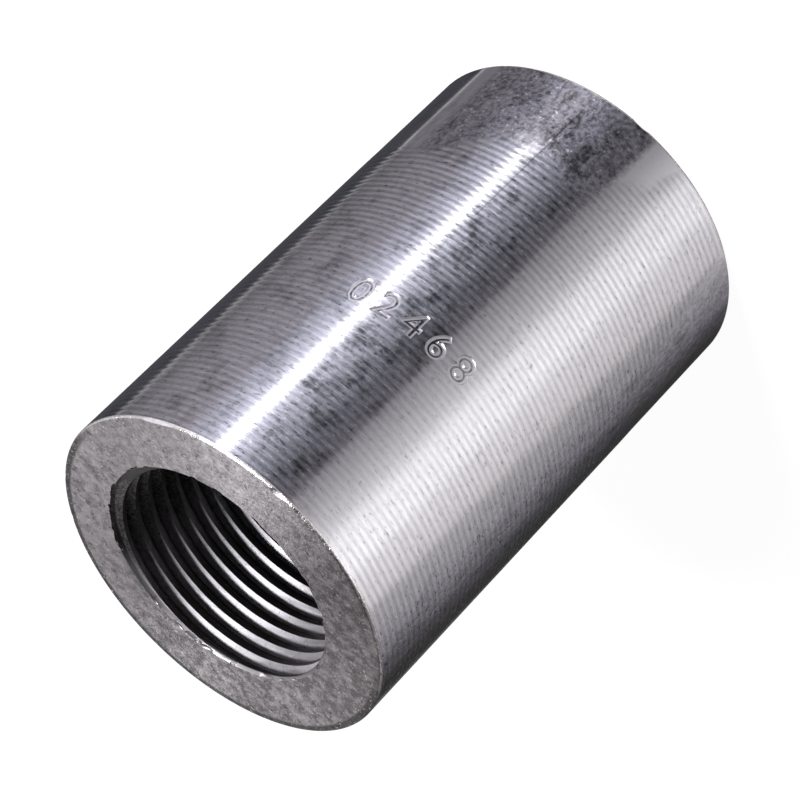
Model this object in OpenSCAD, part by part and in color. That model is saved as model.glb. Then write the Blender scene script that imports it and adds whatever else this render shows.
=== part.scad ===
// Rebar coupler: one turned steel sleeve, tapped right through.
// It stands on one end. The origin is the middle of the lower end face, and +Z is the bore's axis.

/* [Sleeve] */
// Outside diameter
sleeve_d = 58.5; // [52:0.5:70]
// Length from face to face
sleeve_l = 91; // [60:1:110]
// Radius of the rounded outer edges
edge_r = 0.5; // [0.2:0.1:2]

/* [Thread] */
// Nominal diameter of the metric thread
thread_d = 41; // [36:0.5:43]
// Pitch of the right-hand thread
thread_pitch = 3; // [2.5:0.1:3.5]
// Depth of the 45 degree countersink at each mouth
mouth_chamfer = 0.4; // [0.2:0.1:1]
// Angle at which the middle of the groove leaves the upper face
thread_start = 12; // [0:1:359]

/* [Nicks] */
// Angle of the nick in the upper edge
upper_nick_at = 318; // [0:1:359]
// Length of the nick in the upper edge
upper_nick_l = 6.5; // [2:0.5:10]
// Angle of the nick in the lower edge
lower_nick_at = 315; // [0:1:359]
// Length of the nick in the lower edge
lower_nick_l = 4.5; // [2:0.5:10]

/* [Hidden] */
$fn = 128;
steel = [0.55, 0.55, 0.57];
sleeve_r = sleeve_d / 2;
thread_angle = 60;
// A metric thread is cut off at an eighth of the pitch in the root, and its height is 5/8 of the sharp one
root_flat = thread_pitch / 8;
thread_h = 5 / 16 * thread_pitch / tan(thread_angle / 2);
major_r = thread_d / 2;
minor_r = major_r - thread_h;
// The cutter's section reaches a little inside the bore, and its path runs past both faces
cutter_r = minor_r - 0.3;
over_turns = 1;
over = 1;
turns = ceil(sleeve_l / thread_pitch) + 2 * over_turns;
steps_per_turn = 30;
edge_step = 15;

// Width of the groove at a radius
function groove_w(r) = root_flat + 2 * (major_r - r) * tan(thread_angle / 2);

// The groove's four corners at angle a, counted from where its middle leaves the upper face
function groove_section(a) = [
    for (c = [[cutter_r, -0.5], [major_r, -0.5], [major_r, 0.5], [cutter_r, 0.5]])
        [c[0] * cos(a + thread_start), c[0] * sin(a + thread_start),
         sleeve_l + thread_pitch * a / 360 + c[1] * groove_w(c[0])]
];

// Half of the blank's section: flat ends, a straight wall and rounded outer edges
function blank_outline() = concat(
    [[0, 0]],
    [for (a = [-90:edge_step:0]) [sleeve_r - edge_r + edge_r * cos(a), edge_r + edge_r * sin(a)]],
    [for (a = [0:edge_step:90]) [sleeve_r - edge_r + edge_r * cos(a), sleeve_l - edge_r + edge_r * sin(a)]],
    [[0, sleeve_l]]
);

module bored_blank() {
    difference() {
        rotate_extrude() polygon(blank_outline());
        translate([0, 0, -over]) cylinder(r = minor_r, h = sleeve_l + 2 * over);
        mouth();
        translate([0, 0, sleeve_l]) mirror([0, 0, 1]) mouth();
    }
}

// Countersink at the lower mouth
module mouth() {
    translate([0, 0, -over])
        cylinder(r1 = minor_r + mouth_chamfer + over, r2 = minor_r, h = mouth_chamfer + over);
}

// The space that the tap cuts: one trapezoid swept along the helix
module thread_groove() {
    last = turns * steps_per_turn;
    rings = [for (k = [0:last]) groove_section((over_turns - turns + k / steps_per_turn) * 360)];
    points = [for (ring = rings) each ring];
    sides = [
        for (k = [0:last - 1], j = [0:3])
            let (a = 4 * k + j, b = 4 * k + (j + 1) % 4)
                each [[a, b, b + 4], [a, b + 4, a + 4]]
    ];
    ends = [[3, 2, 1, 0], [for (j = [0:3]) 4 * last + j]];
    polyhedron(points, concat(sides, ends));
}

// A knock that left a 45 degree flat, l long, on the lower outer edge at angle a
module nick(a, l) {
    sagitta = sleeve_r - sqrt(pow(sleeve_r, 2) - pow(l / 2, 2));
    bite = edge_r * (sqrt(2) - 1) + sagitta / sqrt(2);
    rotate(a) translate([sleeve_r, 0, 0]) rotate([0, 135, 0])
        translate([-l, -l, -bite]) cube([2 * l, 2 * l, l]);
}

module sleeve() {
    color(steel)
        difference() {
            bored_blank();
            thread_groove();
            translate([0, 0, sleeve_l]) mirror([0, 0, 1]) nick(upper_nick_at, upper_nick_l);
            nick(lower_nick_at, lower_nick_l);
        }
}

sleeve();
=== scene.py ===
"""Rebar coupler: the looks of a turned and tapped steel sleeve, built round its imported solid."""

import math
from functools import partialmethod

import bpy
from bpy.props import (
    FloatProperty, FloatVectorProperty, IntProperty, PointerProperty, StringProperty)
from mathutils import Matrix, Vector


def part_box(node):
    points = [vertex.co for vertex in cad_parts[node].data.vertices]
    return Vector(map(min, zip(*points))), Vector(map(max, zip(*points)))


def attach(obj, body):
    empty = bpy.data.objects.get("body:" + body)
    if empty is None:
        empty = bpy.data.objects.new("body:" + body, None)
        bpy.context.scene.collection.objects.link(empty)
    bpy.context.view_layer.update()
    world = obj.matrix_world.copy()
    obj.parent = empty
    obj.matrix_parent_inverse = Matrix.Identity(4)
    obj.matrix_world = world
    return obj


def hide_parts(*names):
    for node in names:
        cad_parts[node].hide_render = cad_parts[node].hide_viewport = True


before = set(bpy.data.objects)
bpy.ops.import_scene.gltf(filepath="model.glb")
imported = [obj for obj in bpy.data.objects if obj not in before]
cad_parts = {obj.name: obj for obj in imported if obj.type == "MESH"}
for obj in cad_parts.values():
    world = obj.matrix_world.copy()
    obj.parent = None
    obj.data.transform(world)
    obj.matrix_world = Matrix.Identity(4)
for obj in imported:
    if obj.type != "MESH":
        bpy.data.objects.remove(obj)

bl_info = {
    "name": "Rebar Coupler",
    "version": (1, 0, 0),
    "blender": (4, 5, 0),
    "location": "View3D > Sidebar > Coupler",
    "description": "Builds a turned and tapped rebar coupler sleeve and a plain studio round it",
    "category": "Object",
}

NODE = "sleeve"
MM = 0.001
FULL_TURN = 2 * math.pi

LOW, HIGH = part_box(NODE)
OUTER_R = min(HIGH.x, HIGH.y, -LOW.x, -LOW.y)
LENGTH = HIGH.z - LOW.z


# ---- node helpers


class Value:
    """A socket of a node tree that takes part in plain arithmetic."""

    def __init__(self, tree, socket):
        self.tree = tree
        self.socket = socket

    def math(self, operation, *others):
        return value(self.tree, "ShaderNodeMath", (self, *others), operation=operation)

    __add__ = __radd__ = partialmethod(math, "ADD")
    __mul__ = __rmul__ = partialmethod(math, "MULTIPLY")
    __sub__ = partialmethod(math, "SUBTRACT")
    __rsub__ = partialmethod(math, "MULTIPLY_ADD", -1.0)
    __truediv__ = partialmethod(math, "DIVIDE")
    at_least = partialmethod(math, "MAXIMUM")
    at_most = partialmethod(math, "MINIMUM")
    cos = partialmethod(math, "COSINE")
    sin = partialmethod(math, "SINE")

    def __rtruediv__(self, other):
        return self.math("POWER", -1.0) * other

    def between(self, low, high):
        return self.at_least(low).at_most(high)

    def ramp(self, low, high, smooth=False):
        """0 at low and 1 at high, in a straight line or with soft ends."""
        kind = "SMOOTHSTEP" if smooth else "LINEAR"
        return value(self.tree, "ShaderNodeMapRange", (self, low, high), interpolation_type=kind)


def link(tree, item, socket):
    """Feed a socket from another socket, or set its own value."""
    source = item.socket if isinstance(item, Value) else item
    if isinstance(source, bpy.types.NodeSocket):
        tree.links.new(source, socket)
    elif source is not None:
        socket.default_value = source


def add(tree, kind, inputs=(), **settings):
    """A new node. Its inputs are numbers, or sockets to link, by position or by name."""
    node = tree.nodes.new(kind)
    for name, choice in settings.items():
        setattr(node, name, choice)
    for key, item in inputs.items() if isinstance(inputs, dict) else enumerate(inputs):
        link(tree, item, node.inputs[key])
    return node


def value(tree, kind, inputs=(), out=0, **settings):
    """The output of a new node, ready for arithmetic."""
    return Value(tree, add(tree, kind, inputs, **settings).outputs[out])


def geometry(tree, kind, inputs=(), **settings):
    return value(tree, "GeometryNode" + kind, inputs, **settings)


SOCKET_TYPES = {float: "Float", int: "Int", str: "String", type(None): "Material"}


def new_tree(name, inputs, outputs, output_type="Float", kind="GeometryNodeTree"):
    """A node group with named sockets. Each input is a name that is in SOCKETS."""
    tree = bpy.data.node_groups.new(name, kind)

    def new_socket(label, side, item):
        return tree.interface.new_socket(label, in_out=side, socket_type="NodeSocket" + item)

    for label in inputs:
        default, *unit = SOCKETS[label]
        socket = new_socket(label, "INPUT", SOCKET_TYPES[type(default)])
        if unit:
            socket.subtype = unit[0]
        if default is not None:
            socket.default_value = default
    for label in outputs:
        new_socket(label, "OUTPUT", output_type)
    source = tree.nodes.new("NodeGroupInput")
    return tree, {label: Value(tree, source.outputs[label]) for label in inputs}


def closed(tree, *items):
    """The node group, once these items feed its outputs."""
    result = tree.nodes.new("NodeGroupOutput")
    for item, socket in zip(items, result.inputs):
        link(tree, item, socket)
    return tree


def use(tree, group, inputs, out=0):
    """One output of a node group that is placed in a tree."""
    kind = "ShaderNodeGroup" if tree.bl_idname == "ShaderNodeTree" else "GeometryNodeGroup"
    return value(tree, kind, inputs, out, node_tree=group)


def outputs_of(tree, group, inputs):
    """All the outputs of a node group that is placed in a tree, by name."""
    node = use(tree, group, inputs).socket.node
    return {socket.name: Value(tree, socket) for socket in node.outputs}


def vector(tree, x, y, z):
    return value(tree, "ShaderNodeCombineXYZ", (x, y, z))


def xyz(tree, item):
    node = add(tree, "ShaderNodeSeparateXYZ", (item,))
    return [Value(tree, socket) for socket in node.outputs]


def polar(tree, radius, angle, height):
    """The vector to a point at a radius, an angle and a height."""
    return vector(tree, angle.cos() * radius, angle.sin() * radius, height)


def noise(tree, place, scale=1.0, detail=2.0, roughness=0.6, seed=None):
    """Soft noise between 0 and 1 at a place. With a seed, it is a pattern of its own."""
    inputs = {"Vector": place, "Scale": scale, "Detail": detail, "Roughness": roughness}
    if seed is None:
        return value(tree, "ShaderNodeTexNoise", inputs)
    return value(tree, "ShaderNodeTexNoise", {**inputs, "W": seed}, noise_dimensions="4D")


def colour_ramp(tree, item, stops):
    """The colour at an item from 0 to 1. Each stop is a place on the ramp and a colour."""
    node = add(tree, "ShaderNodeValToRGB", (item,))
    elements = node.color_ramp.elements
    for number, (place, colour) in enumerate(stops):
        element = elements[number] if number < len(elements) else elements.new(place)
        element.position = place
        element.color = (*colour, 1.0)
    return Value(tree, node.outputs[0])


# ---- sizes and colours


def plain(name, description, default, unit="NONE", **limits):
    return FloatProperty(name=name, description=description, default=default, unit=unit, **limits)


def in_mm(name, description, default):
    return plain(name, description, default * MM, "LENGTH")


def in_degrees(name, description, default):
    return plain(name, description, math.radians(default), "ROTATION")


def rgb(name, description, default):
    return FloatVectorProperty(name=name, description=description, default=default,
                               subtype="COLOR", size=3, min=0, max=1)


class SleeveSizes(bpy.types.PropertyGroup):
    edge_radius: in_mm("Edge radius", "Radius of the rounded outer edges", 0.5)
    thread_radius: in_mm("Thread radius", "Radius at the root of the thread's groove", 20.5)
    pitch: in_mm("Pitch", "Rise of the thread in one turn", 3)
    mouth_chamfer: in_mm("Mouth chamfer", "Depth of the 45 degree countersink at each mouth", 0.4)
    thread_start: in_degrees(
        "Thread start", "Angle at which the middle of the groove leaves the upper face", 12)
    feed: in_mm("Feed", "Distance between two turning marks", 1.27)
    mark_depth: in_mm("Mark depth", "Depth of the deepest turning mark", 0.045)
    skin_drop: in_mm("Skin drop", "How far the unturned patches lie below the turned wall", 0.04)
    columns: IntProperty(
        name="Columns", description="Faces round the sleeve", default=144, min=24, max=180)
    seed: IntProperty(
        name="Seed", description="Choice of the wear's random pattern", default=4)


class WearSizes(bpy.types.PropertyGroup):
    upper_nick_angle: in_degrees(
        "Upper nick angle", "Where the flat nick sits on the upper outer edge", 318)
    upper_nick_length: in_mm(
        "Upper nick length", "Length of the flat nick on the upper outer edge", 6.5)
    lower_nick_angle: in_degrees(
        "Lower nick angle", "Where the flat nick sits on the lower outer edge", 315)
    lower_nick_length: in_mm(
        "Lower nick length", "Length of the flat nick on the lower outer edge", 4.5)
    chips: IntProperty(
        name="Chips", description="Small dents on each edge", default=40, min=0, max=80)
    chip_size: in_mm("Chip size", "Radius of the ball that cuts the largest small dent", 1.1)
    number: StringProperty(
        name="Number", description="Plain digits stamped into the wall", default="02468")
    number_height: in_mm("Number height", "Height of the stamped digits", 4.8)
    number_depth: in_mm("Number depth", "Depth of the stamped digits", 0.25)
    number_angle: in_degrees("Number angle", "Angle of the middle of the stamped digits", -78.5)
    number_level: in_mm(
        "Number level", "Height of the middle of the stamped digits above the floor", 55)


class SleeveLook(bpy.types.PropertyGroup):
    steel: rgb("Steel", "Colour of the bright turned steel", (0.62, 0.60, 0.64))
    skin: rgb("Skin", "Colour of the dull end faces and unturned patches", (0.42, 0.40, 0.42))
    # This colour is used for real dirt and also for the painted shade in the bore, in the wall's
    # grooves and digits, and on one side of a face's rim
    grime: rgb("Grime", "Colour of the oil and dirt in the grooves", (0.03, 0.028, 0.027))


class StudioSettings(bpy.types.PropertyGroup):
    view_angle: in_degrees("View angle", "Height of the camera above the floor, as an angle", 32.61)
    view_roll: in_degrees("View roll", "Turn of the camera about its own line of sight", 135.27)
    distance: plain("Distance", "From the camera to the point it looks at, in outer radii", 18.56)
    aim: plain("Aim", "Height of the point the camera looks at, as a share of the length", 0.5204)
    sideways: in_mm("Sideways", "How far the camera and its aim sit beside the bore's axis", -0.45)
    lens: plain("Lens", "Focal length in millimetres for a sensor 36 mm wide", 161.1)
    floor_grey: plain(
        "Floor grey", "How much of the lamp's light the floor gives back", 0.12, min=0, max=1)
    floor_glow: plain(
        "Floor glow", "How bright the floor looks where it is in shadow", 0.95, min=0, max=1)
    key_watts: plain("Key lamp", "Power of the key lamp in watts", 11.0, min=0)


# ---- fields shared by shapes and finishes

THREAD_FLANK = math.radians(30)
HALF_ROOT = 1 / 16      # half width of the groove's floor, in pitches
FLANK_RISE = 5 / 16     # axial length of one flank, in pitches
THREAD_DEPTH = FLANK_RISE / math.tan(THREAD_FLANK)  # depth of the groove, in pitches
SKIN_REACH = 50 * MM    # height that a full shade of the skin edge stands for
SKIN_SINK = 3 * MM      # the skin edge starts this far below the lower face
SKIN_RAGGED = 9 * MM    # how far the skin edge wanders
SKIN_SOFT = 2.6 * MM    # half height of the soft border of the skin
MARK_HALF = 0.24        # half of a turning mark's width, in marks

# Angle in degrees and height in mm of the upper edge of the bar's old skin, round the lower end
SKIN_EDGE = (
    (0, 22), (14, 15), (40, 17), (62, 9), (84, 3), (150, 3), (166, 16), (180, 26), (195, 31),
    (208, 33), (215, 27), (224, 13), (229, 2), (257, 2), (261, 11), (268, 14), (274, 21), (280, 21),
    (292, 17.5), (300, 17.5), (310, 22), (320, 26), (332, 27), (345, 27), (360, 22),
)
# Bearing, inner and outer half width in degrees: the side where the turning marks are deepest,
# and a band where they are faint. Then the heights between which each of them comes in
CHATTER_SIDE = (-50, 30, 42)
SMOOTH_BAND = (-65, 5, 11)
CHATTER_RISE = (54 * MM, 30 * MM)
SMOOTH_RISE = (44 * MM, 60 * MM)


def skin_field(tree, angle, height, seed):
    """1 where the lathe never touched the bar's old skin, 0 on the turned wall."""
    stops = [(bearing / 360, (top * MM / SKIN_REACH,) * 3) for bearing, top in SKIN_EDGE]
    edge = colour_ramp(tree, (angle / FULL_TURN).math("FRACT"), stops)
    place = polar(tree, 5.0, angle, height / (6 * MM))
    ragged = (noise(tree, place, detail=4.0, roughness=0.65, seed=seed) - 0.5) * SKIN_RAGGED
    top = edge * SKIN_REACH - SKIN_SINK
    return (height + ragged - top).ramp(SKIN_SOFT, -SKIN_SOFT, smooth=True)


def near_angle(angle, middle, inner, outer):
    """1 within the inner angle of a bearing round the axis, 0 beyond the outer one."""
    inside, outside = (math.cos(math.radians(width)) for width in (inner, outer))
    return (angle - math.radians(middle)).cos().ramp(outside, inside, smooth=True)


def mark_strength(tree, angle, height, seed):
    """How deep the turning marks are here, from 0 to 1."""
    place = polar(tree, 1.6, angle, height / (9 * MM))
    patchy = noise(tree, place, roughness=0.5, seed=seed + 7.0).ramp(0.3, 0.7) * 0.35
    chatter = near_angle(angle, *CHATTER_SIDE) * (height.ramp(*CHATTER_RISE) * 0.35 + 0.04)
    smooth = near_angle(angle, *SMOOTH_BAND) * height.ramp(*SMOOTH_RISE)
    return (patchy + chatter + 0.20) * (1.0 - smooth * 0.55)


def marks_at(angle, height, feed):
    """The number of the turning mark, counted along the axis. Whole numbers are the grooves."""
    return height / feed + angle / FULL_TURN


def turns_at(angle, height, length, pitch, start):
    """The number of the thread's turn, from the upper face. Whole numbers are the grooves."""
    return (height - length) / pitch - (angle - start) / FULL_TURN


def beside_groove(turns):
    """Distance from the middle of the nearest groove, in turns, below 0 on one side of it."""
    return (turns + 0.5).math("FRACT") - 0.5


def off_groove(turns):
    """Distance from the middle of the nearest groove, in turns."""
    return beside_groove(turns).math("ABSOLUTE")


# ---- shape of the sleeve

# Where the rows of faces divide one turn of the thread and one turning mark
FLANK_ROWS = (HALF_ROOT, HALF_ROOT + FLANK_RISE / 2, HALF_ROOT + FLANK_RISE)
THREAD_ROWS = (0.0, *FLANK_ROWS, 0.5, *(1 - row for row in reversed(FLANK_ROWS)))
MARK_ROWS = (0.0, MARK_HALF, 0.5, 1 - MARK_HALF)
FACE_ROWS = 6
EDGE_ROWS = 6
WELD = 2e-6             # points that are closer than this become one
SHARP = math.radians(32)  # an edge that bends by more than this is not shaded smooth
CORNER = math.sqrt(2) - 1  # from a rounded edge to its sharp corner, in edge radii
CHIP_BITE = 0.07 * MM   # deepest dent in an outer edge
MOUTH_BITE = 0.30 * MM  # deepest dent in the edge of a mouth
BALL_FLAT = 0.97        # how far the flat faces of a ball lie from its middle, in radii
DIGIT_HEIGHT = 0.73     # height of a digit as a share of the type size
DIGIT_SPACING = 1.46
RIM_SHARE = 1.2         # radius of the shoulder round each digit, as a share of the stamp's depth
SCORE = {"Angle": math.radians(-68.3), "Low": 4 * MM, "High": 32.5 * MM, "Width": 0.10 * MM}


def socket_name(setting):
    """The name of the node socket that takes a setting."""
    return setting.replace("_", " ").title()


UNITS = {"LENGTH": ("DISTANCE",), "ROTATION": ("ANGLE",)}
SETTINGS = {
    socket_name(name): (prop.keywords["default"], *UNITS.get(prop.keywords.get("unit"), ()))
    for group in (SleeveSizes, WearSizes) for name, prop in group.__annotations__.items()}
# Default and unit of every input that a node group can have, by its name
SOCKETS = {
    **SETTINGS,
    **dict.fromkeys(("Radius", "Outer Radius"), (OUTER_R, "DISTANCE")),
    **dict.fromkeys(("Length", "High"), (LENGTH, "DISTANCE")),
    **dict.fromkeys(("Height", "Level", "Low", "Groove Reach"), (0.0, "DISTANCE")),
    **dict.fromkeys(("Bite", "Depth", "Width", "Size", "Scratch Width"), (0.2 * MM, "DISTANCE")),
    **dict.fromkeys(("Angle", "Tilt", "Groove At"), (0.0, "ANGLE")),
    **dict.fromkeys(("Side", "Outwards"), (1.0,)),
    **dict.fromkeys(("Pits", "Sparks"), (0.1,)),
    **dict.fromkeys(("Wall", "Face", "Thread", "Bare"), (None,)),
    "Count": (40,),
}


def bore_radius_group():
    """Radius of the threaded bore at a height and an angle: groove, crest and countersink."""
    tree, given = new_tree("Bore radius", [
        "Height", "Angle", "Length", "Thread Radius", "Pitch", "Mouth Chamfer", "Thread Start",
        "Seed"], ["Radius"])
    height, angle, pitch = given["Height"], given["Angle"], given["Pitch"]
    root = given["Thread Radius"]
    turns = turns_at(angle, height, given["Length"], pitch, given["Thread Start"])
    off_middle = off_groove(turns) * pitch
    climb = (off_middle - pitch * HALF_ROOT).at_least(0.0) / math.tan(THREAD_FLANK)
    crest = root - pitch * THREAD_DEPTH
    groove = (root - climb).at_least(crest)
    to_face = height.at_most(given["Length"] - height)
    side = height.ramp(0.0, given["Length"])
    ragged = noise(tree, polar(tree, 9.0, angle, side * 5.0),
                   detail=3.0, roughness=0.5, seed=given["Seed"] + 3.0)
    countersink = crest + given["Mouth Chamfer"] * (ragged + 0.5) - to_face
    return closed(tree, groove.at_least(countersink))


def wall_radius_group():
    """Radius of the turned outer wall at a height and an angle, with its turning marks."""
    tree, given = new_tree("Wall radius", [
        "Height", "Angle", "Outer Radius", "Feed", "Mark Depth", "Skin Drop", "Seed"], ["Radius"])
    angle, height = given["Angle"], given["Height"]
    off = off_groove(marks_at(angle, height, given["Feed"]))
    groove = off.ramp(MARK_HALF, 0.0) * 0.8 + off.ramp(0.5, MARK_HALF) * 0.2
    depth = given["Mark Depth"] * mark_strength(tree, angle, height, given["Seed"])
    skin = skin_field(tree, angle, height, given["Seed"])
    fall = groove * depth * (1.0 - skin) + skin * given["Skin Drop"]
    return closed(tree, given["Outer Radius"] - fall)


def grid(tree, rows, columns):
    """A sheet of faces, with the row number and the angle of each of its points."""
    sheet = geometry(tree, "MeshGrid", {
        "Size X": 1.0, "Size Y": 1.0, "Vertices X": rows, "Vertices Y": columns + 1.0})
    across, along, _ = xyz(tree, geometry(tree, "InputPosition"))
    row = ((across + 0.5) * (rows - 1.0)).math("ROUND")
    angle = (along + 0.5) * FULL_TURN
    return sheet, row, angle


def uneven_steps(tree, row, stops):
    """Turns row numbers into steps, where each whole step is divided at the same places."""
    step = row / len(stops)
    whole = step.math("FLOOR")
    switch = add(tree, "GeometryNodeIndexSwitch", data_type="FLOAT")
    while len(switch.index_switch_items) < len(stops):
        switch.index_switch_items.new()
    for key, item in enumerate((((step - whole) * len(stops)).math("ROUND"), *stops)):
        link(tree, item, switch.inputs[key])
    return whole + Value(tree, switch.outputs[0])


def bend_round(tree, sheet, radius, angle, height):
    """The sheet with each point at its radius, angle and height."""
    place = polar(tree, radius, angle, height)
    return geometry(tree, "SetPosition", {"Geometry": sheet, "Position": place})


def with_material(tree, sheet, material):
    return geometry(tree, "SetMaterial", {"Geometry": sheet, "Material": material})


def joined(tree, *shapes):
    node = add(tree, "GeometryNodeJoinGeometry")
    for shape in shapes:
        link(tree, shape, node.inputs[0])
    return Value(tree, node.outputs[0])


def welded(tree, shape):
    return geometry(tree, "MergeByDistance", {"Geometry": shape, "Distance": WELD})


def moved(tree, shape, *moves):
    """The shape after each move in turn: a Translation or a Rotation, and its x, y and z."""
    for key, *parts in moves:
        place = vector(tree, *parts)
        shape = geometry(tree, "Transform", {"Geometry": shape, key: place})
    return shape


def edge_flat_group():
    """A block that cuts one flat nick of a given length into an outer edge."""
    tree, given = new_tree("Edge flat", [
        "Radius", "Height", "Tilt", "Angle", "Length", "Edge Radius"], ["Block"], "Geometry")
    radius, length = given["Radius"], given["Length"]
    half = length * 0.5
    sagitta = radius - (radius * radius - half * half).math("SQRT")
    bite = given["Edge Radius"] * CORNER + sagitta / math.sqrt(2)
    size = vector(tree, length * 2.0, length * 2.0, length)
    block = geometry(tree, "MeshCube", {"Size": size})
    return closed(tree, moved(
        tree, block, ("Translation", 0.0, 0.0, half - bite), ("Rotation", 0.0, given["Tilt"], 0.0),
        ("Translation", radius, 0.0, given["Height"]), ("Rotation", 0.0, 0.0, given["Angle"])))


def edge_chips_group():
    """Small balls of random size round an edge, each of which cuts one dent.

    Where the groove of a thread runs out through the face, the edge lies further out.
    """
    tree, given = new_tree("Edge chips", [
        "Radius", "Height", "Side", "Count", "Size", "Edge Radius", "Outwards", "Bite",
        "Groove At", "Groove Reach", "Pitch", "Seed"], ["Balls"], "Geometry")

    def random(low, high, step):
        """A number of its own for each ball. The keys are the Min and the Max of a float."""
        inputs = {2: low, 3: high, "Seed": given["Seed"] + float(step)}
        return value(tree, "FunctionNodeRandomValue", inputs, out=1, data_type="FLOAT")

    ball = geometry(tree, "MeshIcoSphere", {"Radius": 1.0, "Subdivisions": 2})
    angle = random(0.0, FULL_TURN, 1)
    share = random(0.0, 1.0, 2)
    size = given["Size"] * (share * share * 0.7 + 0.3)
    bite = given["Bite"] * random(0.2, 1.0, 3)
    out = size * BALL_FLAT - given["Edge Radius"] * CORNER - bite
    tilt = random(0.4, 1.15, 4)
    beside = off_groove((angle - given["Groove At"]) / FULL_TURN) - HALF_ROOT
    climb = beside * given["Pitch"] / math.tan(THREAD_FLANK)
    run_out = (given["Groove Reach"] - climb).between(0.0, given["Groove Reach"])
    reach = given["Radius"] + run_out + out * tilt.cos() * given["Outwards"]
    place = polar(tree, reach, angle, given["Height"] + out * tilt.sin() * given["Side"])
    dots = geometry(tree, "Points", {"Count": given["Count"], "Position": place})
    turn = vector(tree, random(-0.4, 0.4, 5), random(0.0, 6.0, 6), angle)
    scale = vector(tree, size, size * random(1.5, 3.5, 7), size)
    balls = geometry(tree, "InstanceOnPoints",
                  {"Points": dots, "Instance": ball, "Rotation": turn, "Scale": scale})
    return closed(tree, balls)


def stamp_group():
    """Solid digits bent round the wall and the shoulders round them, to cut a stamped number."""
    tree, given = new_tree("Stamped number", [
        "Number", "Size", "Depth", "Radius", "Angle", "Level"], ["Digits", "Rims"], "Geometry")
    depth = given["Depth"]
    outlines = geometry(tree, "StringToCurves", {
        "String": given["Number"], "Size": given["Size"] / DIGIT_HEIGHT,
        "Character Spacing": DIGIT_SPACING}, align_x="CENTER", align_y="MIDDLE")
    outlines = geometry(tree, "RealizeInstances", (outlines,))
    flat = geometry(tree, "FillCurve", {"Curve": outlines}, mode="TRIANGLES")
    raised = geometry(tree, "ExtrudeMesh", {
        "Mesh": flat, "Offset": vector(tree, 0.0, 0.0, 1.0), "Offset Scale": depth * 3.0,
        "Individual": False}, mode="FACES")
    bottom = geometry(tree, "FlipFaces", {"Mesh": flat})
    solid = welded(tree, joined(tree, raised, bottom))
    section = geometry(tree, "CurvePrimitiveCircle",
                    {"Resolution": 6, "Radius": depth * RIM_SHARE})
    rims = geometry(tree, "CurveToMesh", {"Curve": outlines, "Profile Curve": section})
    rims = moved(tree, rims, ("Translation", 0.0, 0.0, depth))
    x, y, z = xyz(tree, geometry(tree, "InputPosition"))
    angle = given["Angle"] - x / given["Radius"]
    radius = given["Radius"] - depth + z
    return closed(tree, *(bend_round(tree, shape, radius, angle, given["Level"] - y)
                          for shape in (solid, rims)))


def score_group():
    """A long thin blade that cuts one straight scored line along the wall."""
    tree, given = new_tree("Score line", [
        "Radius", "Angle", "Low", "High", "Width"], ["Blade"], "Geometry")
    low, high, width = given["Low"], given["High"], given["Width"]
    blade = geometry(tree, "MeshCube", {"Size": vector(tree, width, width, high - low)})
    return closed(tree, moved(
        tree, blade, ("Rotation", 0.0, 0.0, math.radians(45)),
        ("Translation", given["Radius"], 0.0, (high + low) * 0.5),
        ("Rotation", 0.0, 0.0, given["Angle"])))


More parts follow.
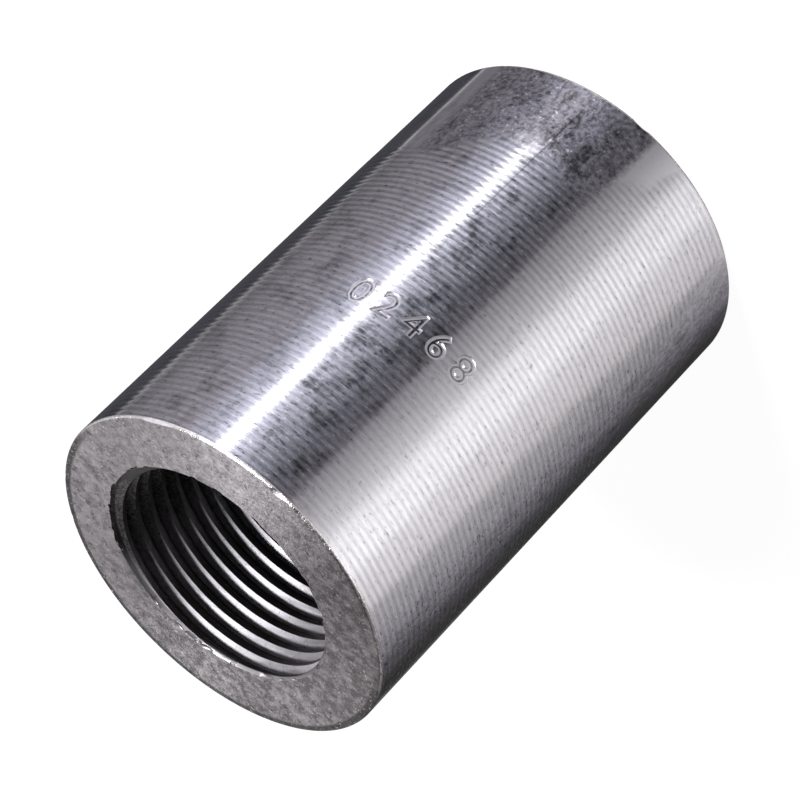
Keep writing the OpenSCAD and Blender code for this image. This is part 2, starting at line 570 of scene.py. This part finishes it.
def sleeve_group():
    """The whole sleeve: two end rings, the wall and the threaded bore, welded and then cut with its
    nicks, chips, dents and marks.
    """
    wall_radius = wall_radius_group()
    bore_radius = bore_radius_group()
    edge_flat = edge_flat_group()
    edge_chips = edge_chips_group()
    tree, given = new_tree("Threaded sleeve", [
        "Outer Radius", "Length", *SETTINGS, "Wall", "Face", "Thread", "Bare"],
        ["Sleeve"], "Geometry")
    length, outer, edge = given["Length"], given["Outer Radius"], given["Edge Radius"]
    feed, pitch, columns = given["Feed"], given["Pitch"], given["Columns"]

    def radius_at(group, height, angle):
        """The wall's or the bore's radius, given the inputs that it shares with this tree."""
        names = {socket.name for socket in group.interface.items_tree} & given.keys()
        shared = {name: given[name] for name in names}
        return use(tree, group, {**shared, "Height": height, "Angle": angle})

    def tube(group, spacing, rows, height_of, low, high, material):
        """The wall or the bore: rows of faces that run along its grooves, cut off at both ends."""
        count = ((length / spacing + 3.0) * len(rows)).math("CEIL")
        sheet, row, angle = grid(tree, count, columns)
        height = height_of(uneven_steps(tree, row, rows), angle).between(low, high)
        sheet = bend_round(tree, sheet, radius_at(group, height, angle), angle, height)
        return with_material(tree, sheet, given[material])

    def mark_height(step, angle):
        height = length + feed * (2.0 - step - angle / FULL_TURN)
        return height - (length / feed).math("FRACT") * feed

    def thread_height(step, angle):
        begin = (length / pitch + 1.0).math("CEIL")
        return length + pitch * (step - begin + (angle - given["Thread Start"]) / FULL_TURN)

    def end(face, inwards):
        """The ring at the height of a face, and its rounded edge. Inwards is 1 or -1."""
        sheet, row, angle = grid(tree, FACE_ROWS + EDGE_ROWS + 1, columns)
        inner = radius_at(bore_radius, face, angle)
        wall_r = radius_at(wall_radius, face + edge * inwards, angle)
        across = (row / FACE_ROWS).at_most(1.0)
        tip = ((row - FACE_ROWS) / EDGE_ROWS).at_least(0.0) * (math.pi / 2)
        radius = inner + (wall_r - edge - inner) * across + edge * tip.sin()
        height = face + (edge - edge * tip.cos()) * inwards
        sheet = bend_round(tree, sheet, radius, angle, height)
        if inwards > 0:
            sheet = geometry(tree, "FlipFaces", {"Mesh": sheet})
        return with_material(tree, sheet, given["Face"])

    def wear():
        """Cutters for the nicks, the chips of the outer edges and the dents of the mouths."""
        crest = given["Thread Radius"] - pitch * THREAD_DEPTH
        chamfer = given["Mouth Chamfer"]
        nicks, chips, dents = [], [], []
        for name, height, side, seed in (("Upper", length, 1.0, 0.0), ("Lower", 0.0, -1.0, 20.0)):
            shared = {"Height": height, "Side": side, "Count": given["Chips"]}
            nicks.append(use(tree, edge_flat, {
                "Radius": outer, "Height": height, "Tilt": math.radians(90 - 45 * side),
                "Angle": given[name + " Nick Angle"], "Length": given[name + " Nick Length"],
                "Edge Radius": edge}))
            chips.append(use(tree, edge_chips, {
                **shared, "Radius": outer, "Edge Radius": edge, "Bite": CHIP_BITE,
                "Size": given["Chip Size"], "Seed": given["Seed"] + seed}))
            dents.append(use(tree, edge_chips, {
                **shared, "Radius": crest + chamfer, "Edge Radius": 0.0, "Bite": MOUTH_BITE,
                "Size": given["Chip Size"] * 0.8, "Seed": given["Seed"] + (seed + 50.0),
                "Outwards": -1.0, "Pitch": pitch,
                "Groove At": given["Thread Start"] - (length - height) / pitch * FULL_TURN,
                "Groove Reach": given["Thread Radius"] - crest - chamfer}))
        return [with_material(tree, shape, given[name]) for shapes, name in (
            (nicks, "Bare"), (chips, "Face"), (dents, "Thread")) for shape in shapes]

    def marks():
        """Cutters for the stamped number and the scored line."""
        stamp = outputs_of(tree, stamp_group(), {
            "Number": given["Number"], "Size": given["Number Height"],
            "Depth": given["Number Depth"], "Radius": outer,
            "Angle": given["Number Angle"], "Level": given["Number Level"]})
        score = use(tree, score_group(), {"Radius": outer - SCORE["Width"] * 0.45, **SCORE})
        kinds = ((stamp["Digits"], "Wall"), (stamp["Rims"], "Bare"), (score, "Wall"))
        return [with_material(tree, shape, given[name]) for shape, name in kinds]

    wall = tube(wall_radius, feed, MARK_ROWS, mark_height, edge, length - edge, "Wall")
    bore = tube(bore_radius, pitch, THREAD_ROWS, thread_height, 0.0, length, "Thread")
    whole = welded(tree, joined(tree, wall, bore, end(length, -1.0), end(0.0, 1.0)))
    cut = add(tree, "GeometryNodeMeshBoolean", {"Mesh 1": whole},
              operation="DIFFERENCE", solver="MANIFOLD")
    for cutter in (*wear(), *marks()):
        link(tree, cutter, cut.inputs["Mesh 2"])
    bend = geometry(tree, "InputMeshEdgeAngle")
    soft = value(tree, "FunctionNodeCompare", (bend, SHARP), operation="LESS_THAN")
    whole = cut.outputs["Mesh"]
    for domain, smooth in (("FACE", True), ("EDGE", soft)):
        whole = geometry(tree, "SetShadeSmooth",
                      {"Geometry": whole, "Shade Smooth": smooth}, domain=domain)
    return closed(tree, geometry(tree, "RealizeInstances", (whole,)))


def evaluated_mesh(name, group, settings):
    """An object with the plain mesh that a Geometry Nodes group makes with these inputs."""
    holder = bpy.data.objects.new(name, bpy.data.meshes.new(name + "_seed"))
    bpy.context.scene.collection.objects.link(holder)
    modifier = holder.modifiers.new(name, "NODES")
    modifier.node_group = group
    for socket in group.interface.items_tree:
        if socket.in_out == "INPUT":
            modifier[socket.identifier] = settings[socket.name]
    graph = bpy.context.evaluated_depsgraph_get()
    mesh = bpy.data.meshes.new_from_object(
        holder.evaluated_get(graph), preserve_all_data_layers=True, depsgraph=graph)
    if not mesh.polygons:
        raise RuntimeError(name + " came out without faces")
    mesh.name = name
    empty = holder.data
    holder.modifiers.clear()
    holder.data = mesh
    bpy.data.meshes.remove(empty)
    for number in reversed(range(len(mesh.materials))):
        if mesh.materials[number] is None:
            mesh.materials.pop(index=number)
    return holder


# ---- finishes

BRIGHT = (0.90, 0.89, 0.90)     # metal that was struck clean
HIGHLIGHT_AND_GRAIN = (0.85, 0.82, 0.80)     # painted highlight on a face's rim, and the bright grains of a face
BLUED = (0.69, 0.69, 0.74)      # tint of the old skin, by which its colour is multiplied
# Bearing, inner and outer half width in degrees, on the wall: old skin that is rough, the side that
# was knocked about, a band of small flecks, and the side where the dark lines of the turning marks
# are faintest
DULL_PATCH = (-61.5, 27, 31)
KNOCKED_SIDE = (-175, 30, 45)
FLECKED_BAND = (-78, 7, 14)
CALM_SIDE = (-100, 4, 14)
# The same for the faces: the rim in painted shade, the smoother part, and painted shade and sheen
# with their strengths
DARK_RIM = (100, 90, 115)
SMOOTH_SECTOR = (-48, 25, 60)
FACE_SHADE_AND_SHEEN = ((-155, 28, 58, 0.38), (113, 15, 38, 0.30), (55, 15, 32, -0.20))
# The same for the bore: the side of the thread painted in shade, its darkest part towards one end
# of that side, and the part of the countersinks painted in shadow
SHADE_SIDE = (0, 30, 80)
DARK_LIP = (-32, 22, 42)
DARK_MOUTH = (5, 40, 58)


def new_material(name, colour, roughness, metallic):
    material = bpy.data.materials.new(name)
    material.use_nodes = True
    tree = material.node_tree
    shader = tree.nodes["Principled BSDF"]
    shader.inputs["Base Color"].default_value = (*colour, 1.0)
    shader.inputs["Roughness"].default_value = roughness
    shader.inputs["Metallic"].default_value = metallic
    return material, tree, shader


def object_place(tree):
    return value(tree, "ShaderNodeTexCoord", out=3)


def round_axis(tree):
    """The place on the object, its angle round the bore's axis and its distance from it."""
    x, y, z = xyz(tree, object_place(tree))
    return x, y, z, y.math("ARCTAN2", x), (x * x + y * y).math("SQRT")


def mix_colour(tree, share, first, second):
    """The first colour where the share is 0, the second where it is 1."""
    first, second = (part if isinstance(part, Value) else (*part, 1.0) for part in (first, second))
    return value(tree, "ShaderNodeMix", {0: share, 6: first, 7: second}, out=2, data_type="RGBA")


def scaled(colour, *factors):
    """A colour times one factor, or times one for each part."""
    return tuple(part * factor for part, factor in zip(colour, factors * 3))


def grain_group():
    """Fine metal grain: a height for bumps, dark pits, bright grains and soft clouds."""
    tree, given = new_tree("Metal grain", [
        "Size", "Pits", "Sparks"], ["Height", "Pit", "Spark", "Cloud"], kind="ShaderNodeTree")
    place = object_place(tree)
    scale = 1.0 / given["Size"]
    height = noise(tree, place, scale * 1.0, 3.0)
    rarity = noise(tree, place, scale * 0.12).ramp(0.35, 0.65)
    pit = noise(tree, place, scale * 0.77).ramp(0.40, 0.30)
    spark = noise(tree, place, scale * 1.13, 1.0).ramp(0.66, 0.74)
    cloud = noise(tree, place, scale * 0.16, 5.0, 0.7)
    pit, spark = (item * (share + rarity * share) for item, share in (
        (pit, given["Pits"]), (spark, given["Sparks"])))
    return closed(tree, height, pit.at_most(1.0), spark.at_most(1.0), cloud)


def lathe_group(feed, seed):
    """The turned wall: ridge lines, fine circular scratches, and the unturned skin."""
    tree, given = new_tree("Lathe marks", [
        "Scratch Width"
    ], ["Groove", "Scratch", "Streak", "Fleck", "Patch", "Skin", "Strength"], kind="ShaderNodeTree")
    x, y, z = xyz(tree, object_place(tree))
    angle = y.math("ARCTAN2", x)
    skin = skin_field(tree, angle, z, seed)
    strength = mark_strength(tree, angle, z, seed)
    groove = off_groove(marks_at(angle, z, feed)).ramp(0.42, 0.06, smooth=True)

    def drawn(along, detail, wide=1.0):
        """Noise that is drawn out round the axis, by how many times its width along the axis."""
        width = given["Scratch Width"] * wide
        place = vector(tree, x / (width * along), y / (width * along), z / width)
        return noise(tree, place, detail=detail)

    return closed(tree, groove, drawn(40.0, 3.0), drawn(9.0, 3.0), drawn(3.5, 2.0, 1.1),
                  drawn(0.7, 4.0, 20.0), skin, strength)


def coat(tree, shader, colour, rough, height, depth):
    """Give the shader its colour, roughness and bumps, whose height of 1 is a real depth."""
    bump = add(tree, "ShaderNodeBump", {"Height": height, "Distance": depth, "Strength": 1.0})
    for name, item in (("Base Color", colour), ("Roughness", rough), ("Normal", bump.outputs[0])):
        link(tree, item, shader.inputs[name])


def brushed(tree, shader, amount):
    """Draw the highlights out across the fine rings that turning leaves."""
    tangent = add(tree, "ShaderNodeTangent", direction_type="RADIAL", axis="Z")
    link(tree, tangent.outputs[0], shader.inputs["Tangent"])
    shader.inputs["Anisotropic"].default_value = amount
    shader.inputs["Anisotropic Rotation"].default_value = 0.25


def turned_steel(look, grain, lathe):
    """The outer wall: turned steel with marks, flecks and knocks, and the bar's old skin."""
    material, tree, shader = new_material("turned_steel_wall", look.steel, 0.2, 1.0)
    marks = outputs_of(tree, lathe, {"Scratch Width": 0.26 * MM})
    fine = outputs_of(tree, grain, {"Size": 0.8 * MM, "Pits": 0.35, "Sparks": 0.9})
    skin, streak, fleck, patch = (marks[name] for name in ("Skin", "Streak", "Fleck", "Patch"))
    _, _, z, angle, radius = round_axis(tree)
    turned = 1.0 - skin
    chatter, knocked, flecked = (
        near_angle(angle, *place) for place in (CHATTER_SIDE, KNOCKED_SIDE, FLECKED_BAND))
    dull = skin * near_angle(angle, *DULL_PATCH)
    mottled = dull.at_least(skin * knocked * 0.6)
    calm = 1.0 - near_angle(angle, *CALM_SIDE) * z.ramp(35 * MM, 60 * MM) * 0.5
    # Painted shade in the sunk digits, which are also rougher
    sunk = radius.ramp(OUTER_R - 0.10 * MM, OUTER_R - 0.20 * MM)

    # Painted shade lies in the grooves of the turning marks and in the sunk digits; dirt in
    # streaks, specks and patches
    depth = marks["Strength"] * 0.30 + 0.13 + flecked * 0.10
    lines = marks["Groove"] * depth * (streak.ramp(0.25, 0.6) * 0.6 + 0.5) * calm
    streaks = streak.ramp(0.62, 0.38) * (chatter * 0.10 + 0.10) * calm
    specks = fleck.ramp(0.45, 0.27) * (chatter * 0.10 + flecked * 0.20 + knocked * 0.40 + 0.16)
    specks = specks + fleck.ramp(0.37, 0.31) * 0.24
    patches = patch.ramp(0.50, 0.68) * (chatter * 0.24 + flecked * 0.26 + knocked * 0.15 + 0.04)
    wear_and_shade = (lines + streaks + specks) * turned + patches
    blotch = mottled * (fine["Height"].ramp(0.60, 0.36) * 0.62 + patch.ramp(0.42, 0.62) * 0.14)
    dirt_and_shade = (wear_and_shade + blotch + fine["Pit"] * 0.15 + sunk * 0.5).at_most(0.9)

    # The skin is blued, and small flecks and grains of bare metal are bright
    clear = fleck.ramp(0.60, 0.75) * turned * (flecked * 0.5 + knocked + 0.25)
    bright = fine["Spark"] * mottled * 0.5 + clear
    colour = mix_colour(tree, dull, look.steel, scaled(look.skin, *BLUED))
    colour = mix_colour(tree, bright.at_most(1.0), colour, BRIGHT)
    colour = mix_colour(tree, dirt_and_shade, colour, look.grime)

    rough = marks["Scratch"].ramp(0.3, 0.7) * 0.07 + turned * 0.04 + 0.05
    struck = fleck.ramp(0.55, 0.72) * turned * (flecked * 0.2 + knocked * 0.25)
    rough = rough + dull * 0.28 + mottled * 0.05 + struck + sunk * 0.15
    pecked = streak * 0.12 + fleck * (flecked * 0.10 + knocked * 0.8 + 0.10)
    height = turned * pecked + fine["Height"] * mottled * 1.6 + patch * knocked * 3.0
    coat(tree, shader, colour, rough, height, 0.05 * MM)
    brushed(tree, shader, 0.8)
    return material


def dull_face(look, grain):
    """The end faces: dull grey and cloudy, with painted shade and sheen round them, a rim painted
    in shade on one side and a painted highlight on the rim of the other.
    """
    material, tree, shader = new_material("faced_end", look.skin, 0.5, 1.0)
    fine = outputs_of(tree, grain, {"Size": 0.45 * MM, "Pits": 0.55, "Sparks": 1.0})
    coarse = outputs_of(tree, grain, {"Size": 1.5 * MM, "Pits": 0.6, "Sparks": 0.5})
    *_, angle, radius = round_axis(tree)
    share = radius / OUTER_R
    # Painted shade darkens the rim on one side of each face
    dark_side = near_angle(angle, *DARK_RIM)
    rim = (share + coarse["Height"] * 0.03).ramp(0.965, 0.98, smooth=True) * dark_side
    # A painted highlight lightens the rim on the other side, which is also smoother
    painted_rim_highlight = share.ramp(0.989, 0.994, smooth=True) * (1.0 - dark_side)
    # Painted shade and sheen round the face: darker at some bearings, lighter at one
    painted_shade_and_sheen = sum(near_angle(angle, *place) * shade for *place, shade in FACE_SHADE_AND_SHEEN)
    coarseness = 1.15 - near_angle(angle, *SMOOTH_SECTOR) * 0.45
    clouds = (coarse["Height"] - 0.5) * 2.2 + (fine["Height"] - 0.5) * 1.2
    shade = (clouds * coarseness + 0.60 - painted_shade_and_sheen).between(0.0, 1.0)
    colour = mix_colour(tree, shade, scaled(look.skin, 0.45), scaled(look.skin, 1.35))
    dirt_and_shade = (fine["Pit"] * 0.7 + coarse["Pit"] * 0.3 + rim * 0.75).at_most(0.9)
    colour = mix_colour(tree, dirt_and_shade, colour, look.grime)
    clear = (fine["Spark"] * 0.6).at_least(painted_rim_highlight * 0.7)
    colour = mix_colour(tree, clear, colour, HIGHLIGHT_AND_GRAIN)
    rough = fine["Height"].ramp(0.3, 0.7) * 0.15 + 0.42 - fine["Spark"] * 0.12 - painted_rim_highlight * 0.15
    coat(tree, shader, colour, rough, fine["Height"] - fine["Pit"] * 0.5, 0.08 * MM)
    brushed(tree, shader, 0.6)
    return material


def cut_thread(look, grain, sizes):
    """The bore: steel on the upper flanks of the thread, and painted shade on the rest and on one
    side, with some dirt.
    """
    material, tree, shader = new_material("cut_thread", look.steel, 0.4, 1.0)
    x, y, z, angle, radius = round_axis(tree)
    beside = beside_groove(turns_at(angle, z, LENGTH, sizes.pitch, sizes.thread_start))
    crest = sizes.thread_radius - sizes.pitch * THREAD_DEPTH
    flank_end = -HALF_ROOT - FLANK_RISE
    # Only the upper flanks keep the steel colour: the crests, roots and lower flanks are painted in
    # shade
    flank = beside.ramp(-HALF_ROOT, -HALF_ROOT - 0.03) * beside.ramp(flank_end, flank_end + 0.01)
    drawn = vector(tree, x / (5 * MM), y / (5 * MM), z / (0.25 * MM))
    streak = noise(tree, drawn, detail=3.0)
    fine = outputs_of(tree, grain, {"Size": 0.4 * MM, "Pits": 0.6, "Sparks": 0.3})
    # Painted shade: one side of the bore, and a darker stretch of it, go towards the dark colour;
    # the clouds and pits are dirt
    shade_side = near_angle(angle, *SHADE_SIDE)
    wear_and_shade = shade_side * (fine["Height"].ramp(0.35, 0.6) * 0.30 + 0.66)
    wear_and_shade = wear_and_shade + fine["Cloud"].ramp(0.5, 0.7) * 0.2 + fine["Pit"] * 0.4
    wear_and_shade = wear_and_shade + near_angle(angle, *DARK_LIP) * 0.35
    # One side of each countersink is painted in shadow; elsewhere it keeps part of the steel colour
    edge = near_angle(angle, *DARK_MOUTH)
    to_face = (LENGTH - z).at_most(z)
    mouth = (radius - crest).ramp(-0.05 * MM, 0.0) * to_face.ramp(0.5 * MM, 0.4 * MM)
    unshaded = flank * (1.0 - mouth) * (1.0 - wear_and_shade.at_most(1.0)) + mouth * 0.4 * (1.0 - edge)
    dirt_and_shade = (1.0 - unshaded) * (edge * mouth * 0.06 + 0.94)
    colour = mix_colour(tree, dirt_and_shade, look.steel, look.grime)
    rough = streak.ramp(0.3, 0.7) * 0.15 + 0.36
    height = streak * 0.7 + fine["Height"] * (shade_side * 1.5 + 0.8)
    coat(tree, shader, colour, rough, height, 0.02 * MM)
    return material


def bare_steel(look, grain):
    """Metal that a knock or the stamp laid bare."""
    material, tree, shader = new_material("bruised_edge", look.steel, 0.3, 1.0)
    fine = outputs_of(tree, grain, {"Size": 0.4 * MM, "Pits": 0.2, "Sparks": 0.4})
    dull = fine["Cloud"].ramp(0.3, 0.7) * 0.5
    colour = mix_colour(tree, dull, look.steel, look.skin)
    coat(tree, shader, colour, fine["Height"] * 0.2 + 0.38, fine["Height"], 0.05 * MM)
    return material


# ---- studio

FLOOR_HALF = 4.0        # half the floor's width in metres
KEY_FROM = Vector((0.38, -0.27, 0.88))  # from the sleeve's middle to the key lamp
KEY_DISTANCE = 1.0
KEY_SIZE = 0.2
SENSOR = 36             # width in millimetres

# Bearing in degrees from the camera's side, strength and tint of the studio's panels
NEUTRAL, COOL = (1.0, 1.0, 1.0), (0.97, 1.0, 1.14)
WARM, VIOLET = (1.03, 0.99, 0.97), (1.0, 0.97, 1.05)
PANELS = (
    (-180, 0.40, NEUTRAL), (-170, 0.07, COOL), (-136, 0.08, COOL), (-135, 0.58, NEUTRAL),
    (-133.5, 0.58, NEUTRAL), (-132, 0.25, VIOLET), (-124, 0.25, VIOLET), (-116, 0.34, VIOLET),
    (-96, 0.44, VIOLET), (-80, 0.50, VIOLET), (-68, 0.86, COOL), (-57.5, 1.30, COOL),
    (-53, 4.2, NEUTRAL), (-50.7, 4.2, NEUTRAL), (-47.3, 1.30, COOL), (-36, 0.74, COOL),
    (-26, 0.46, COOL), (-17, 0.22, COOL), (-3, 0.22, VIOLET), (-1, 0.38, VIOLET),
    (10, 0.58, NEUTRAL), (24, 0.92, NEUTRAL), (34, 1.45, NEUTRAL), (50, 1.64, NEUTRAL),
    (60, 1.25, NEUTRAL), (81, 0.98, WARM), (83.5, 0.66, NEUTRAL), (108, 0.38, VIOLET),
    (130, 0.12, VIOLET), (146, 0.05, NEUTRAL), (165, 0.04, NEUTRAL), (180, 0.40, NEUTRAL),
)
PANEL_FULL = 4.5        # the strength that a full shade of the panels stands for
PANEL_LEAN = 0.236      # how far the panel on one side leans, in turns for each unit of height
LEANING = (0.63, 0.70)  # bearings in turns between which that lean comes in
DIP = 0.54              # how far down the upright wall mirrors the main view's rays, as a sine
SLOPE, LEAST = 1.5, 0.3  # how fast the panels grow stronger upwards, and the least they give
# Heights, as the sine of the angle above the horizon, between which one light gives way to another:
# panels to the light from above, that light to its dark top, and panels to the ground
SKY_FROM = (-0.05, 0.15)
SKY_TOP = (0.72, 0.56)
GROUND_FROM = (-0.80, -0.93)
SKY_TINT = (1.0, 0.97, 0.98)
GROUND = (0.16, 0.16, 0.17)


def lay_floor(studio):
    """A floor that the camera sees as white and that the metal doesn't mirror."""
    mesh = bpy.data.meshes.new("floor")
    corners = [(x * FLOOR_HALF, y * FLOOR_HALF, 0) for x, y in ((-1, -1), (1, -1), (1, 1), (-1, 1))]
    mesh.from_pydata(corners, [], [(0, 1, 2, 3)])
    floor = bpy.data.objects.new("floor", mesh)
    bpy.context.scene.collection.objects.link(floor)
    material, tree, shader = new_material("pale_floor", (studio.floor_grey,) * 3, 1.0, 0.0)
    shader.inputs["Specular IOR Level"].default_value = 0.0
    shader.inputs["Emission Color"].default_value = (1, 1, 1, 1)
    seen = value(tree, "ShaderNodeLightPath")
    link(tree, seen * studio.floor_glow, shader.inputs["Emission Strength"])
    mesh.materials.append(material)
    floor.visible_glossy = False
    floor.visible_diffuse = False
    floor.visible_shadow = False


def strengthened(tree, colour, strength):
    return value(tree, "ShaderNodeVectorMath", {0: colour, "Scale": strength}, operation="SCALE")


def panel_light(tree, bearing):
    """Colour of the panels at a bearing round the object."""
    stops = [(place / 360 + 0.5, scaled(tint, strength / PANEL_FULL))
             for place, strength, tint in PANELS]
    return strengthened(tree, colour_ramp(tree, bearing, stops), PANEL_FULL)


def set_world():
    """White for the camera. The metal mirrors panels at the sides, a soft sky and dark ground."""
    world = bpy.data.worlds.new("studio_world")
    world.use_nodes = True
    bpy.context.scene.world = world
    tree = world.node_tree
    background = tree.nodes["Background"]
    x, y, z = xyz(tree, value(tree, "ShaderNodeTexCoord"))
    bearing = (-1.0 * x).math("ARCTAN2", -1.0 * y) / FULL_TURN + 0.5
    bearing = bearing + (z + DIP) * bearing.ramp(*LEANING) * PANEL_LEAN
    strength = ((z + DIP) * SLOPE + 1.0).at_least(LEAST)
    sides = strengthened(tree, panel_light(tree, bearing), strength)
    behind = (y * 0.55 + x * 0.85).ramp(-1.0, 1.0)
    sky = (behind * 1.1 + 0.1) * z.ramp(*SKY_TOP, smooth=True) + 0.015
    sky = mix_colour(tree, sky, (0, 0, 0), SKY_TINT)
    light = mix_colour(tree, z.ramp(*SKY_FROM, smooth=True), sides, sky)
    light = mix_colour(tree, z.ramp(*GROUND_FROM, smooth=True), light, GROUND)
    seen = value(tree, "ShaderNodeLightPath")
    link(tree, mix_colour(tree, seen, light, (1, 1, 1)), background.inputs["Color"])
    background.inputs["Strength"].default_value = 1.0


def set_lamp(studio):
    light = bpy.data.lights.new("key_lamp", "AREA")
    light.shape = "SQUARE"
    light.size = KEY_SIZE
    light.energy = studio.key_watts
    lamp = bpy.data.objects.new("key_lamp", light)
    centre = Vector((0, 0, LENGTH / 2))
    lamp.location = centre + KEY_FROM.normalized() * KEY_DISTANCE
    lamp.rotation_euler = (centre - lamp.location).to_track_quat("-Z", "Y").to_euler()
    bpy.context.scene.collection.objects.link(lamp)


def set_camera(studio):
    """A camera on the -Y side that looks at the sleeve, rolled about its line of sight."""
    data = bpy.data.cameras.new("camera")
    data.lens = studio.lens
    data.sensor_width = SENSOR
    data.clip_start = 10 * MM
    camera = bpy.data.objects.new("camera", data)
    aim = Vector((studio.sideways, 0, LOW.z + LENGTH * studio.aim))
    back = Vector((0, -math.cos(studio.view_angle), math.sin(studio.view_angle)))
    upright = (-back).to_track_quat("-Z", "Y").to_matrix()
    turn = upright @ Matrix.Rotation(-studio.view_roll, 3, "Z")
    camera.location = aim + back * (studio.distance * OUTER_R)
    camera.matrix_world = Matrix.Translation(camera.location) @ turn.to_4x4()
    bpy.context.scene.collection.objects.link(camera)
    bpy.context.scene.camera = camera


# ---- operators and panel


def socket_values(*groups):
    """The settings of property groups, by the names of the node sockets that take them."""
    return {socket_name(setting): getattr(group, setting)
            for group in groups for setting in group.__annotations__}


class COUPLER_OT_sleeve(bpy.types.Operator):
    """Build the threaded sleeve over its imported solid"""

    bl_idname = "coupler.sleeve"
    bl_label = "Threaded sleeve"

    def execute(self, context):
        sizes = context.scene.coupler_sizes
        look = context.scene.coupler_look
        grain = grain_group()
        lathe = lathe_group(sizes.feed, sizes.seed)
        holder = evaluated_mesh("coupler_sleeve", sleeve_group(), {
            **socket_values(sizes, context.scene.coupler_wear),
            "Outer Radius": OUTER_R,
            "Length": LENGTH,
            "Wall": turned_steel(look, grain, lathe),
            "Face": dull_face(look, grain),
            "Thread": cut_thread(look, grain, sizes),
            "Bare": bare_steel(look, grain),
        })
        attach(holder, "root")
        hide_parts(NODE)
        return {"FINISHED"}


class COUPLER_OT_studio(bpy.types.Operator):
    """Lay the floor and set the lamp, the world and the camera"""

    bl_idname = "coupler.studio"
    bl_label = "Studio"

    def execute(self, context):
        studio = context.scene.coupler_studio
        lay_floor(studio)
        set_world()
        set_lamp(studio)
        set_camera(studio)
        context.scene.view_settings.view_transform = "Standard"
        return {"FINISHED"}


class COUPLER_PT_panel(bpy.types.Panel):
    """Sizes, colours and building steps of the coupler"""

    bl_idname = "COUPLER_PT_panel"
    bl_label = "Rebar coupler"
    bl_space_type = "VIEW_3D"
    bl_region_type = "UI"
    bl_category = "Coupler"

    def draw(self, context):
        layout = self.layout
        for name in GROUPS:
            group = getattr(context.scene, name)
            box = layout.box()
            for setting in group.__annotations__:
                box.prop(group, setting)
        for operator in OPERATORS:
            layout.operator(operator.bl_idname)


GROUPS = {
    "coupler_sizes": SleeveSizes,
    "coupler_wear": WearSizes,
    "coupler_look": SleeveLook,
    "coupler_studio": StudioSettings,
}
OPERATORS = (COUPLER_OT_sleeve, COUPLER_OT_studio)
CLASSES = (*GROUPS.values(), *OPERATORS, COUPLER_PT_panel)


def register():
    for part in CLASSES:
        bpy.utils.register_class(part)
    for name, group in GROUPS.items():
        setattr(bpy.types.Scene, name, PointerProperty(type=group))


def unregister():
    for name in GROUPS:
        delattr(bpy.types.Scene, name)
    for part in reversed(CLASSES):
        bpy.utils.unregister_class(part)


def main():
    register()
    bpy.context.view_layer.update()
    bpy.ops.coupler.sleeve()
    bpy.ops.coupler.studio()


if __name__ == "__main__":
    main()
